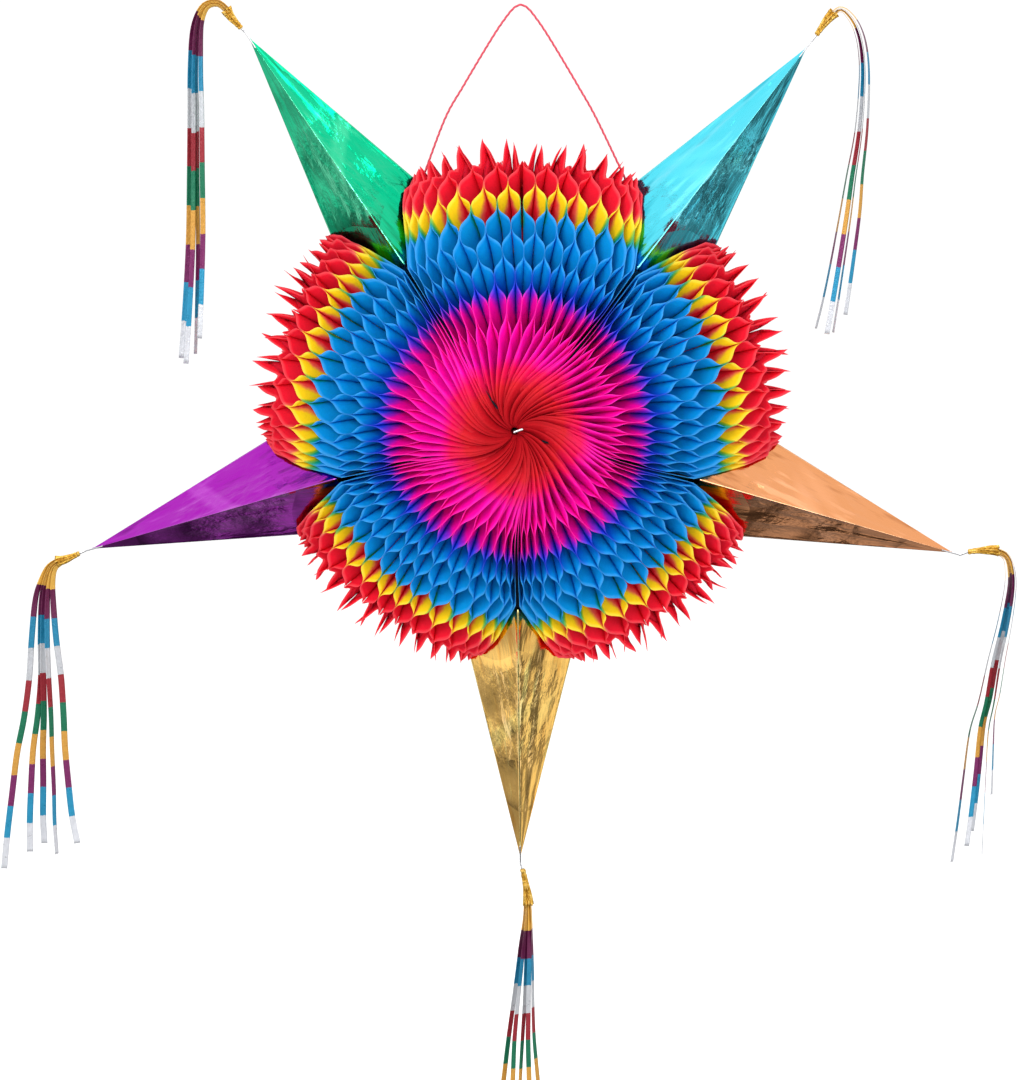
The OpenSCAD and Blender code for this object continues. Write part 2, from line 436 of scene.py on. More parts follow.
@dataclass(frozen=True)
class TissueFinish:
    """Thin dyed tissue: matt, a little see-through to light, with a fine crepe."""

    deep_red: tuple = (0.62, 0.004, 0.012)
    pink: tuple = (1.0, 0.0, 0.56)
    violet: tuple = (0.02, 0.07, 0.80)
    blue: tuple = (0.0, 0.40, 0.84)
    green: tuple = (0.0, 0.46, 0.20)
    yellow: tuple = (1.0, 0.8, 0.015)
    red: tuple = (0.94, 0.016, 0.05)

    def build(self) -> bpy.types.Material:
        """Makes the material.

        The dye follows the ring that each spot of paper lies on: deep red at the pole, then
        pink, violet, blue, green, yellow and red at the rim, each bleeding into the next.

        Returns:
            The tissue material.
        """
        n = Nodes("dyed_tissue")
        bleed = n.sum("MULTIPLY", n.sum("SUBTRACT", n.noise(60.0, 3.0), 0.5), 0.045)
        ring = n.sum("ADD", n.value("ring"), bleed)
        dye = n.ramp(
            ring,
            [
                (0.1, self.deep_red),
                (0.18, (0.80, 0.012, 0.03)),
                (0.235, (0.93, 0.003, 0.14)),
                (0.28, self.pink),
                (0.45, self.pink),
                (0.47, (0.34, 0.02, 0.72)),
                (0.49, self.violet),
                (0.535, (0.0, 0.13, 0.8)),
                (0.565, self.blue),
                (0.75, self.blue),
                (0.77, self.green),
                (0.787, (0.3, 0.6, 0.03)),
                (0.8, self.yellow),
                (0.836, self.yellow),
                (0.852, (0.93, 0.16, 0.12)),
                (0.87, self.red),
            ],
        )
        # painted shade: the dye is darkened towards purple-grey the deeper a point lies in its
        # cell, and more strongly near the pole
        deep = n.sum("POWER", n.value("depth"), 0.6)
        core = n.sum("SUBTRACT", 1.0, n.sum("MULTIPLY", n.value("ring"), 3.4), clamp=True)
        shaded = n.sum("ADD", 0.27, n.sum("MULTIPLY", core, 1.1))
        dark = n.sum("MULTIPLY", deep, shaded, clamp=True)
        painted_shade = n.mix(dark, dye, (0.3, 0.25, 0.36), "MULTIPLY")
        # painted highlight: the cells' lips are paled towards white, more towards the rim
        lip_highlight_mask = n.sum("SUBTRACT", 1.0, n.sum("MULTIPLY", n.value("depth"), 14.0), clamp=True)
        pale = n.sum("MULTIPLY", n.sum("MULTIPLY", lip_highlight_mask, n.value("ring")), 0.1)
        light = n.mix(pale, painted_shade, (1.0, 1.0, 1.0))
        grain = n.sum("ADD", n.sum("MULTIPLY", n.noise(420.0, 4.0), 0.24), 0.88)
        crumple = n.sum("ADD", n.sum("MULTIPLY", n.noise(28.0, 2.0), 0.24), 0.88)
        plain = [(0.0, grey(0.0)), (1.0, grey(1.0))]
        mottled = n.mix(1.0, light, n.ramp(grain, plain), "MULTIPLY")
        dyed = n.mix(1.0, mottled, n.ramp(crumple, plain), "MULTIPLY")
        relief = n.sum("ADD", n.noise(900.0, 3.0), n.sum("MULTIPLY", n.noise(160.0, 3.0), 1.6))
        normal = n.bump(relief, 0.3, 0.0005)
        shader = n.surface(Base_Color=dyed, Roughness=0.85, Normal=normal)
        shader.inputs["Specular IOR Level"].default_value = 0.12
        through = n.add("BsdfTranslucent")
        n.join(dyed, through.inputs["Color"])
        both = n.add("MixShader")
        both.inputs[0].default_value = 0.5
        n.join(shader.outputs[0], both.inputs[1])
        n.join(through.outputs[0], both.inputs[2])
        n.join(both.outputs[0], n.output.inputs[0])
        return n.owner


@dataclass(frozen=True)
class FoilFinish:
    """Mirror-like coloured foil on thin card, with creases along the point."""

    name: str
    colour: tuple
    deep: tuple
    angle: float

    def lifted(self, gain: float, lift: float) -> tuple[float, ...]:
        """The foil's colour made brighter and paler.

        Args:
            gain: the factor on each channel.
            lift: what is added to each channel.
        Returns:
            The colour, each channel at most 1.
        """
        return tuple(min(1.0, c * gain + lift) for c in self.colour)

    def build(self) -> bpy.types.Material:
        """Makes the material, its fine streaks running along the point.

        Returns:
            The foil material.
        """
        n = Nodes(self.name)
        spot = n.add("TexCoord").outputs["Object"]
        turn = n.add("Mapping", vector_type="TEXTURE")
        turn.inputs["Location"].default_value = (0.0, 0.0, MIDDLE_Z)
        turn.inputs["Rotation"].default_value = (0.0, -math.radians(self.angle), 0.0)
        n.join(spot, turn.inputs["Vector"])

        def streak(scale: tuple, detail: float, slant: float = 0.0) -> bpy.types.NodeSocket:
            """Noise drawn out along the point, or at a slant to it.

            Args:
                scale: how fine it is on the point's three axes.
                detail: how many finer layers it has.
                slant: its slant to the point, in radians.
            Returns:
                The noise's output.
            """
            stretch = n.add("Mapping", vector_type="TEXTURE")
            stretch.inputs["Rotation"].default_value = (0.0, slant, 0.0)
            stretch.inputs["Scale"].default_value = tuple(1 / f for f in scale)
            n.join(turn.outputs[0], stretch.inputs["Vector"])
            return n.noise(1.0, detail, spot=stretch.outputs[0])

        fine = streak((10.0, 150.0, 150.0), 3.0)
        sweep = streak((16.0, 9.0, 9.0), 1.0)
        dents = streak((60.0, 75.0, 75.0), 4.0)
        crumple = n.ramp(sweep, [(0.48, grey(0.0)), (0.6, grey(1.0))])
        bright = self.lifted(1.2, 0.06)
        tint = n.ramp(
            n.sum("ADD", n.sum("MULTIPLY", fine, 0.6), n.sum("MULTIPLY", sweep, 0.4)),
            [(0.36, self.deep), (0.47, self.colour), (0.57, self.colour), (0.66, bright)],
        )
        glare = streak((5.0, 5.0, 46.0), 1.0, math.radians(38))
        beams = n.ramp(glare, [(0.53, grey(0.0)), (0.6, grey(1.0)), (0.72, grey(0.2))])
        tint = n.mix(n.sum("MULTIPLY", beams, 0.4), tint, self.lifted(1.3, 0.08))
        # painted highlight: the foil is made brighter and paler along the point's ridges
        ridge = n.sum("POWER", n.value("ridge"), 1.5)
        tint = n.mix(n.sum("MULTIPLY", ridge, 0.75), tint, self.lifted(1.3, 0.22))
        jagged = n.sum("MULTIPLY", n.sum("MULTIPLY", dents, crumple), 0.9)
        relief = n.sum("ADD", n.sum("MULTIPLY", fine, 0.22), jagged)
        relief = n.sum("ADD", relief, n.sum("MULTIPLY", sweep, 1.6))
        rough = n.ramp(fine, [(0.3, grey(0.07)), (0.7, grey(0.17))])
        n.surface(
            Base_Color=tint,
            Metallic=1.0,
            Roughness=rough,
            Normal=n.bump(relief, 0.3, 0.006),
        )
        return n.owner


@dataclass(frozen=True)
class StreamerFinish:
    """Foil strip printed in inch-long blocks of colour."""

    blocks: tuple = (
        (0.56, 0.31, 0.05),
        (0.085, 0.004, 0.04),
        (0.006, 0.14, 0.25),
        (0.34, 0.35, 0.37),
        (0.20, 0.008, 0.016),
        (0.0, 0.105, 0.05),
        (0.40, 0.20, 0.03),
        (0.12, 0.006, 0.07),
        (0.006, 0.17, 0.30),
        (0.42, 0.43, 0.46),
    )

    def build(self) -> bpy.types.Material:
        """Makes the material; the colour changes every tenth of a strip.

        Returns:
            The streamer material.
        """
        n = Nodes("striped_foil")
        stops = [(k / 10, colour) for k, colour in enumerate(self.blocks)]
        print_edge = n.sum("MULTIPLY", n.sum("SUBTRACT", n.noise(900.0, 2.0), 0.5), 0.006)
        blocks = n.ramp(n.sum("ADD", n.value("along"), print_edge), stops, steps=True)
        glint = n.noise(260.0, 3.0)
        tint = n.mix(n.sum("MULTIPLY", glint, 0.35), blocks, (1.0, 1.0, 1.0), "OVERLAY")
        n.surface(
            Base_Color=tint,
            Metallic=0.35,
            Roughness=n.ramp(glint, [(0.3, grey(0.25)), (0.7, grey(0.5))]),
            Normal=n.bump(n.noise(700.0, 3.0), 0.5, 0.0006),
        )
        return n.owner


@dataclass(frozen=True)
class GatheredGold:
    """Crumpled gold foil of the gathered heads."""

    crease_shade: tuple = (0.34, 0.16, 0.015)
    colour: tuple = (0.60, 0.35, 0.05)
    glint: tuple = (0.78, 0.55, 0.16)

    def build(self) -> bpy.types.Material:
        """Makes the material.

        Returns:
            The gathered foil's material.
        """
        n = Nodes("gathered_gold")
        creases = n.sum("ADD", n.noise(700.0, 4.0), n.noise(230.0, 2.0))
        # painted shade and painted highlight: low crease noise gives a shaded dark gold, high noise
        # a paler painted glint
        tint = n.ramp(
            n.sum("MULTIPLY", creases, 0.5),
            [(0.38, self.crease_shade), (0.5, self.colour), (0.62, self.glint)],
        )
        n.surface(
            Base_Color=tint,
            Metallic=0.9,
            Roughness=n.ramp(creases, [(0.3, grey(0.2)), (0.8, grey(0.45))]),
            Normal=n.bump(creases, 0.7, 0.0012),
        )
        return n.owner


@dataclass(frozen=True)
class CordYarn:
    """Red twisted cord, with painted shade in the grooves between its strands."""

    groove_shade: tuple = (0.2, 0.004, 0.02)
    crown: tuple = (0.66, 0.02, 0.06)
    fuzz: tuple = (0.8, 0.12, 0.16)

    def build(self) -> bpy.types.Material:
        """Makes the material.

        Returns:
            The cord's material.
        """
        n = Nodes("red_cord_yarn")
        fibre = n.noise(2600.0, 3.0)
        # painted shade: the red is darkened towards the grooves between the strands
        lay = n.ramp(n.value("strand"), [(0.0, self.groove_shade), (1.0, self.crown)])
        tint = n.mix(n.sum("MULTIPLY", fibre, 0.4), lay, self.fuzz)
        shader = n.surface(Base_Color=tint, Roughness=0.7, Normal=n.bump(fibre, 0.4, 0.0002))
        shader.inputs["Sheen Weight"].default_value = 0.3
        return n.owner


@dataclass(frozen=True)
class GrainFinish:
    """A plain stuff whose fine grain varies its colour, gloss and surface a little."""

    name: str
    dark: tuple
    light: tuple
    scale: float
    detail: float
    gloss: tuple
    relief: tuple
    stretch: tuple | None = None
    metallic: float = 0.0
    specular: float = 0.5

    def build(self) -> bpy.types.Material:
        """Makes the material.

        Returns:
            The material.
        """
        n = Nodes(self.name)
        grain = n.noise(self.scale, self.detail, self.stretch)
        low, high = self.gloss
        shader = n.surface(
            Base_Color=n.ramp(grain, [(0.3, self.dark), (0.7, self.light)]),
            Metallic=self.metallic,
            Roughness=n.ramp(grain, [(0.3, grey(low)), (0.7, grey(high))]),
            Normal=n.bump(grain, *self.relief),
        )
        shader.inputs["Specular IOR Level"].default_value = self.specular
        return n.owner


# bright drawn steel, card painted near-black as shade so that its edges read as the dark seams
# between lobes, and moulded white plastic
WIRE = GrainFinish(
    "bright_wire", (0.46, 0.46, 0.48), (0.74, 0.74, 0.76), 900.0, 3.0, (0.22, 0.4), (0.2, 0.0002),
    stretch=(1.0, 0.08, 1.0), metallic=1.0,
)
SHADE_DARK_CARD = GrainFinish(
    "divider_card_painted_shade", (0.004, 0.007, 0.012), (0.010, 0.014, 0.02), 500.0, 4.0, (0.95, 0.95),
    (0.3, 0.0004), specular=0.0,
)
PLASTIC = GrainFinish(
    "stud_plastic", (0.74, 0.74, 0.72), (0.82, 0.82, 0.8), 1200.0, 2.0, (0.45, 0.45), (0.1, 0.0002)
)


# ---------------------------------------------------------------- tissue


@dataclass(frozen=True)
class Stack:
    """A fan's sheets: their numbers, places across it from -1 to 1, and chance differences."""

    numbers: np.ndarray
    across: np.ndarray
    chance: np.ndarray

    @property
    def middleness(self) -> np.ndarray:
        """How near each sheet lies to the fan's middle, from 0 to 1."""
        return np.clip(1 - self.across**2, 0, 1)


@dataclass
class TissueFan:
    """One lobe of honeycomb tissue between two points, or half of one.

    A fan is a stack of half discs glued along radial lines. Glue lines join each sheet to one
    neighbour at even steps along its rim and to the other neighbour at odd steps, so that the
    stack opens into rows of leaf-shaped cells.
    """

    name: str
    start: float
    end: float
    first: int
    last: int
    bodies: tuple
    blend_from: float
    blend_to: float
    nodes: tuple
    seed: int
    sheets: int = 28
    half_pitch: float = 0.015
    crowding: float = 1.42
    sunk: float = 0.0
    lid: int = 0
    depth_steps: tuple = (0.0, 0.0018, 0.0045, 0.0085, 0.0135, 0.02, 0.03)

    def edge(self) -> tuple[np.ndarray, np.ndarray, np.ndarray]:
        """The half disc's rim from the front pole over the sharp rim to the back pole.

        Returns:
            The rim's radii, its places along the axis, and the inward directions.
        """
        share = np.array(SECTION)
        front = np.stack([share[:, 0] * BODY, -share[:, 1] * HALF_DEPTH], 1)
        line = np.vstack([front, front[-2::-1] * [1, -1]])
        along = np.r_[0, np.cumsum(np.linalg.norm(np.diff(line, axis=0), axis=1))]
        at = np.linspace(0, along[-1], 221)
        r, y = (np.interp(at, along, line[:, k]) for k in (0, 1))
        kernel = np.array([1, 2, 3, 2, 1]) / 9.0
        soft = np.convolve(np.pad(r, 2, mode="edge"), kernel, "valid")
        r = np.where(np.abs(y) < 0.018, r, soft)
        t = unit(np.stack([np.gradient(r), np.gradient(y)], 1))
        inward = np.stack([-np.abs(t[:, 1]) - 0.25, np.abs(t[:, 0]) * -np.sign(y)], 1)
        return r, y, unit(inward)

    def side_limit(self, r: np.ndarray, y: np.ndarray, half: float) -> np.ndarray:
        """How far from the lobe's middle the tissue may spread at a spot, in radians.

        It is the whole half angle, less the angle that the foil point's diamond section takes.

        Args:
            r: distances from the axis.
            y: places along the axis.
            half: the lobe's half angle in radians.
        Returns:
            The largest angle from the middle of the lobe.
        """
        foil = 0.2456 * np.clip(TIP - 0.97 * r - np.abs(y) / 0.344, 0, None)
        foil = foil * np.clip((r - 0.09) / 0.035, 0, 1)
        return half - 0.004 - np.arctan2(foil + 0.0007, np.maximum(r, 0.02))

    def glue_wave(self, y: np.ndarray, free: np.ndarray) -> np.ndarray:
        """How a sheet swings to its neighbours along the axis.

        It is a flattened cosine: 1 on the even glue lines, -1 on the odd ones, and it stays
        near 1 on the free edges beyond the last line. The free edge at the sharp rim opens
        evenly instead, which makes the flames broad at their feet.

        Args:
            y: places along the axis.
            free: how free the paper is there, from 0 to 1.
        Returns:
            Numbers from -1 to 1.
        """
        sharp = 1.5
        wave = np.tanh(sharp * np.cos(np.pi * y / self.half_pitch)) / math.tanh(sharp)
        open_wave = 1 - 2 * np.abs(y) / self.half_pitch
        free = free * (np.abs(y) < self.half_pitch)
        wave = wave * (1 - free) + open_wave * free
        return np.where(np.abs(y) > 0.12, 1.0 - 8.0 * (np.abs(y) - 0.12), wave)

    def wander(self, x: np.ndarray, u: np.ndarray, rng: np.random.Generator) -> np.ndarray:
        """A gentle unevenness of the stack that never lets two sheets cross.

        It is a sum of three sines of x and of the way round the rim, gone at both ends of x.

        Args:
            x: places across the stack from -1 to 1.
            u: places round the rim from 0 to 1.
            rng: the source of its random numbers.
        Returns:
            The shift of x.
        """
        total = 0.0
        for wide, size in ((2.5, 0.03), (6.0, 0.014), (11.0, 0.008)):
            f, g, p = rng.uniform(0.7, 1.3), rng.uniform(-14, 14), rng.uniform(0, 6.28)
            total = total + size * np.sin(wide * f * x + g * u + p)
        return total * (1 - x**2)

    def stack(self, rng: np.random.Generator) -> Stack:
        """Numbers the fan's sheets and draws what two glued neighbours share.

        Args:
            rng: the source of its random numbers.
        Returns:
            The sheets.
        """
        numbers = np.arange(self.sheets)[self.first : self.last + self.lid]
        chance = rng.standard_normal((self.sheets + 2, 4))[(numbers + 1) // 2]
        return Stack(numbers, (numbers + 0.5) / self.sheets * 2 - 1, chance)

    def rise(self, y0: np.ndarray) -> np.ndarray:
        """How near the edge is to the sharp rim's middle.

        Args:
            y0: the edge's places along the axis.
        Returns:
            Numbers from 0 to 1.
        """
        return np.clip(1 - np.abs(y0) / self.half_pitch, 0, 1)[None]

    def rim_radii(
        self, r0: np.ndarray, y0: np.ndarray, stack: Stack, rng: np.random.Generator
    ) -> np.ndarray:
        """How far each sheet's edge lies from the axis.

        At the sharp rim a flame stands up by its height times a power of the nearness to the
        rim's middle, with a dip at each foot. Small notches run along the rest of the edge.

        Args:
            r0: the edge's radii.
            y0: its places along the axis.
            stack: the sheets.
            rng: the source of its random numbers.
        Returns:
            A row of radii for each sheet.
        """
        foot, flame_base, notches = 0.0095, 0.1665, 24
        middleness = stack.middleness
        tall = 0.004 + 0.0115 * middleness + 0.0016 * stack.chance[:, 0] * (0.3 + middleness)
        tall = np.clip(tall, 0.002, 0.0175)[:, None]
        power = (0.95 + 0.62 * middleness + 0.16 * stack.chance[:, 3])[:, None]
        near_rim = np.abs(y0) < self.half_pitch
        dip = 0.006 * np.exp(-(((np.abs(y0) - foot) / 0.0032) ** 2)) * middleness[:, None]
        flame = (tall * self.rise(y0) ** power - dip) * near_rim
        notch = 0.0006 * rng.standard_normal((len(middleness), notches))
        at, knots = np.arange(len(r0)), np.linspace(0, len(r0) - 1, notches)
        notch = np.stack([np.interp(at, knots, row) for row in notch])
        return np.where(near_rim, flame_base, r0)[None] + flame + notch * np.clip(r0 / 0.05, 0, 1)

    def sinking(self, r0: np.ndarray, stack: Stack) -> np.ndarray:
        """How far inside the body's outline each point of a sheet starts.

        Near the pole the pairs of sheets sink by four steps in turn, so that a few bold
        pleats stand in front of the rest.

        Args:
            r0: the edge's radii.
            stack: the sheets.
        Returns:
            Depths in metres by sheet, place on the edge and depth step.
        """
        reach = np.interp(r0, [0, 0.02, 0.06, 0.1], [0.35, 0.45, 0.8, 1])
        depth = np.array(self.depth_steps) * reach[:, None]
        pair = (stack.numbers + 1) // 2
        step = np.array([0.0, 0.85, 0.35, 1.0])[pair % 4]
        step = np.where(pair >= self.sheets // 2 - 1, 0.0, step)[:, None, None]
        hidden = 0.007 * step + 0.0012 * np.abs(stack.chance[:, 2:3, None])
        near_pole = (np.exp(-((r0 / 0.042) ** 2)) * np.clip(r0 / 0.008, 0, 1))[:, None]
        sunk = self.sunk * np.exp(-((r0 / 0.055) ** 2))[None, :, None]
        inner = np.clip(2.2 * stack.middleness - 0.2, 0, 1)[:, None, None]
        return depth[None] + hidden * near_pole + sunk * inner

    def spread(
        self, r: np.ndarray, y: np.ndarray, stack: Stack, rng: np.random.Generator
    ) -> np.ndarray:
        """The angle of each point of the glued stack.

        It is the lobe's middle plus the side limit times sin(k x) / sin(k), where x runs
        evenly from -1 to 1 over the sheets and swings by half a sheet with the glue lines.

        Args:
            r: distances from the axis.
            y: places along the axis.
            stack: the sheets.
            rng: the source of its random numbers.
        Returns:
            Angles in radians.
        """
        half = math.radians(self.end - self.start) / 2
        middle = math.radians(self.start + self.end) / 2
        k, across = stack.numbers[:, None, None], stack.across[:, None, None]
        free = np.exp(-((np.array(self.depth_steps) / 0.008) ** 2))
        swing = np.where(k % 2 == 0, 1.0, -1.0) * self.glue_wave(y, free)
        x = across + swing * 0.955 / self.sheets
        x = np.where((k == 0) | (k == self.sheets - 1), np.sign(across) * 0.994, x)
        x = x + self.wander(x, np.linspace(0, 1, r.shape[1])[None, :, None], rng)
        opening = np.sin(self.crowding * x) / math.sin(self.crowding)
        return middle + self.side_limit(r, y, half) * opening

    def stray(
        self,
        angle: np.ndarray,
        grid: tuple[np.ndarray, np.ndarray, np.ndarray],
        y0: np.ndarray,
        stack: Stack,
        rng: np.random.Generator,
    ) -> np.ndarray:
        """Moves the free edge beyond the glue: it sags, its flames lean, the pole swirls.

        Args:
            angle: the glued stack's angles.
            grid: distances from the axis, places along it, and depths below the edge.
            y0: the edge's places along the axis.
            stack: the sheets.
            rng: the source of its random numbers.
        Returns:
            The new angles.
        """
        r, y, inside = grid
        edge = np.exp(-((inside / 0.009) ** 2))
        sag = -np.cos(angle) * np.interp(r, [0, 0.03, 0.06, 0.12, 0.17], [0, 0.5, 1.7, 1.6, 1.0])
        lean = stack.chance[:, 1] * 3.0 + rng.standard_normal(len(stack.numbers)) * 0.9
        lean = (lean * stack.middleness)[:, None, None] * (self.rise(y0) ** 1.3)[..., None]
        angle = angle + edge * (sag + lean) * 0.001 / np.maximum(r, 0.03)
        spin = np.exp(-((r / 0.036) ** 2)) * np.where(y < 0, 1.0, -1.0)
        uneven = 1 + 0.3 * np.sin(3 * angle + self.seed) + 0.12 * stack.chance[:, 3:, None]
        curl = 0.66 * np.exp(-inside / 0.005) + 0.55 * np.exp(-r / 0.012) - 0.1
        return angle + spin * uneven * curl

    def dye_ring(self, r0: np.ndarray, y0: np.ndarray, y: np.ndarray) -> np.ndarray:
        """Which ring of dye each point lies on, as a share of the body's radius.

        Rings run straight into the stack along the axis, the more so towards the rim.

        Args:
            r0: the edge's radii.
            y0: its places along the axis.
            y: every point's place along the axis.
        Returns:
            Numbers from 0 at the pole to 1 at the rim.
        """
        radii, heights = np.array(SECTION)[::-1].T
        radii, heights = radii[:-4] * BODY, heights[:-4] * HALF_DEPTH
        dyed_at = np.interp(np.abs(y), heights, radii)
        at_edge = np.interp(np.abs(y0), heights, radii)[:, None]
        share = np.interp(r0, [0.085, 0.12, 0.133, 0.141], [0.2, 0.4, 0.8, 2.4])[:, None]
        return (r0[:, None] + share * (dyed_at - at_edge)) / BODY

    def faces(self, count: int, along: int) -> np.ndarray:
        """The sheets' quads, and the cells' bottoms that join each sheet to the next.

        Args:
            count: how many sheets there are points for.
            along: how many points run along the edge.
        Returns:
            The quads, four point numbers each.
        """
        deep = len(self.depth_steps)
        shift = np.arange(count - self.lid)[:, None, None] * along * deep
        sheets = (grid_faces(along, deep)[None] + shift).reshape(-1, 4)
        last = np.arange(count)[:, None] * along * deep + np.arange(along) * deep + deep - 1
        bottoms = np.stack([last[:-1, :-1], last[:-1, 1:], last[1:, 1:], last[1:, :-1]], -1)
        return np.vstack([sheets, bottoms.reshape(-1, 4)])

    def build(self, finish: bpy.types.Material) -> bpy.types.Object:
        """Makes the fan's sheets as one mesh.

        Args:
            finish: the tissue material.
        Returns:
            The piece.
        """
        rng = np.random.default_rng(self.seed)
        r0, y0, inward = self.edge()
        stack = self.stack(rng)
        rim = self.rim_radii(r0, y0, stack, rng)
        depth = self.sinking(r0, stack)
        r = np.maximum(rim[:, :, None] + inward[:, :1] * depth, 0.0024)
        y = y0[:, None] + inward[:, 1:] * depth
        inside = depth - depth[:, :, :1]
        angle = self.spread(r, y, stack, rng)
        angle = self.stray(angle, (r, y, inside), y0, stack, rng)
        points = np.stack([r * np.cos(angle), y, r * np.sin(angle) + MIDDLE_Z], -1).reshape(-1, 3)
        # painted shade: sheets that start sunk below the edge get a darker depth value from their
        # second row on; the depth attribute carries this painted shade along with the depth into
        # the cell
        painted_shade = 0.3 * (depth[:, :, :1] / 0.012) * (np.array(self.depth_steps) > 0)
        values = {
            "ring": self.dye_ring(r0, y0, y),
            "depth": np.clip(inside / self.depth_steps[-1], 0, 1) + painted_shade,
        }
        used, numbers = np.unique(self.faces(len(rim), len(r0)), return_inverse=True)
        values = {key: np.broadcast_to(v, r.shape).ravel()[used] for key, v in values.items()}
        obj = add_mesh(self.name, points[used], numbers.reshape(-1, 4), finish, values=values)
        thicken(obj, SHEET_THICKNESS)
        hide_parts(*self.nodes)
        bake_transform(obj)
        LOG.info("%s: %d sheets", self.name, self.last - self.first)
        return obj


class TissueBody:
    """The five lobes of tissue, the top one in two halves that meet above the spine."""

    def build(self, finish: bpy.types.Material) -> None:
        """Makes every fan.

        Args:
            finish: the tissue material.
        """
        fans = [
            TissueFan("top_lobe_right_half", 52, 126, 0, 14, ("hub", "teal_point"), 90, 52,
                      ("top_lobe",), 11, sunk=0.002, lid=1),
            TissueFan("top_lobe_left_half", 52, 126, 14, 28, ("hub", "green_point"), 90, 126,
                      ("top_lobe",), 11, sunk=0.002),
            TissueFan("upper_left_tissue", 126, 198, 0, 28, ("green_point", "purple_point"),
                      126, 198, ("upper_left_lobe",), 13),
            TissueFan("lower_left_tissue", 198, 270, 0, 28, ("purple_point", "gold_left_point"),
                      198, 270, ("lower_left_lobe",), 14),
            TissueFan("lower_right_tissue", 270, 342, 0, 28, ("orange_point", "gold_right_point"),
                      342, 270, ("lower_right_lobe",), 15),
            TissueFan("upper_right_tissue", 342, 412, 0, 28, ("teal_point", "orange_point"),
                      412, 342, ("upper_right_lobe",), 16),
        ]
        for fan in fans:
            fan.build(finish)


# ---------------------------------------------------------------- foil points


@dataclass
class FoilPoint:
    """A four-sided foil card point, or half of one, creased and a little buckled."""

    name: str
    angle: float
    body: str
    joint: str
    node: str
    seed: int
    side: int = 0
    base: float = 0.124
    front_slope: float = 0.3443
    side_slope: float = 0.2456
    wall: float = 0.0006
    rows: int = 90
    per_face: int = 16

    def section(self) -> np.ndarray:
        """Unit places round the diamond section, as (across, front to back) shares.

        Returns:
            One row for each point, from the back ridge round by the sides.
        """
        corners = np.array([[0, 1], [1, 0], [0, -1], [-1, 0], [0, 1]], float)
        if self.side > 0:
            corners = corners[:3]
        elif self.side < 0:
            corners = corners[2:]
        inner = np.linspace(0.075, 0.925, self.per_face - 3)
        t = np.r_[0, 0.022, inner, 0.978]
        walk = [a + (b - a) * s for a, b in zip(corners[:-1], corners[1:], strict=True) for s in t]
        if self.side:
            walk.append(corners[-1])
        return np.array(walk)

    def build(self, finish: bpy.types.Material) -> bpy.types.Object:
        """Makes the wall from its base to its tip.

        The section's two half widths shrink evenly to the tip. Each face is pushed in and out
        by long creases and by a few dents near the base, and not at all at its four edges.

        Args:
            finish: the foil material.
        Returns:
            The piece.
        """
        rng = np.random.default_rng(self.seed)
        walk = self.section()
        cols = len(walk)
        s = np.linspace(0, 1, self.rows) ** 0.92
        x = self.base + (TIP - 0.0004 - self.base) * s
        across = (TIP - x)[:, None] * self.side_slope * walk[:, 0][None]
        deep = (TIP - x)[:, None] * self.front_slope * walk[:, 1][None]
        face = np.arange(cols) / self.per_face
        inside_face = (1 - np.abs(2 * (face % 1.0) - 1) ** 3)[None]
        push = np.zeros((self.rows, cols))
        for _ in range(7):
            column, width = rng.uniform(0, cols), rng.uniform(0.8, 2.2)
            slant, size = rng.uniform(-2.5, 2.5), rng.uniform(-1, 1) * 0.0011
            away = np.arange(cols)[None] - column - slant * s[:, None]
            away = (away + cols / 2) % cols - cols / 2
            push += size * np.exp(-((away / width) ** 2)) * (0.35 + 0.65 * (1 - s[:, None]))
        for _ in range(9):
            row, column = rng.uniform(0, 0.6), rng.uniform(0, cols)
            size = rng.uniform(-1, 1) * 0.0014
            high, wide = rng.uniform(0.03, 0.09), rng.uniform(2, 5)
            from_row = (s[:, None] - row) / high
            push += size * np.exp(-(from_row**2) - ((np.arange(cols)[None] - column) / wide) ** 2)
        push = (push - 0.0012 * (1 - s[:, None])) * inside_face
        push = push * np.clip(1 - s[:, None] ** 3, 0, 1)
        outward = unit(np.stack([np.sign(walk[:, 0]) / self.side_slope,
                                 np.sign(walk[:, 1]) / self.front_slope], 1) + 1e-9)
        across = across + push * outward[:, 0]
        deep = deep + push * outward[:, 1]
        if self.side:
            across = across + self.side * 0.00025
        a = math.radians(self.angle)
        points = np.stack(
            [
                x[:, None] * math.cos(a) - across * math.sin(a),
                deep,
                x[:, None] * math.sin(a) + across * math.cos(a) + MIDDLE_Z,
            ],
            -1,
        ).reshape(-1, 3)
        faces = grid_faces(self.rows, cols, closed=not self.side)
        # marks the ridges, where the foil material paints a highlight
        ridge = np.broadcast_to(np.abs(walk).max(1) > 0.999, (self.rows, cols))
        obj = add_mesh(self.name, points, faces, finish, values={"ridge": ridge})
        self.turn_outward(obj.data)
        wall = obj.modifiers.new("wall", "SOLIDIFY")
        wall.thickness = self.wall
        wall.offset = -1.0
        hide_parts(self.node)
        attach(obj, self.body)
        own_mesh(obj)
        LOG.info("%s: %d faces", self.name, len(faces))
        return obj

    def turn_outward(self, mesh: bpy.types.Mesh) -> None:
        """Turns the faces round if they point to the foil point's own axis.

        Args:
            mesh: the wall's mesh.
        """
        a = math.radians(self.angle)
        way = Vector((math.cos(a), 0, math.sin(a)))
        middle = Vector((0, 0, MIDDLE_Z))
        out = 0.0
        for p in mesh.polygons:
            from_middle = p.center - middle
            out += p.normal.dot(from_middle - way * from_middle.dot(way)) * p.area
        if out < 0:
            mesh.flip_normals()


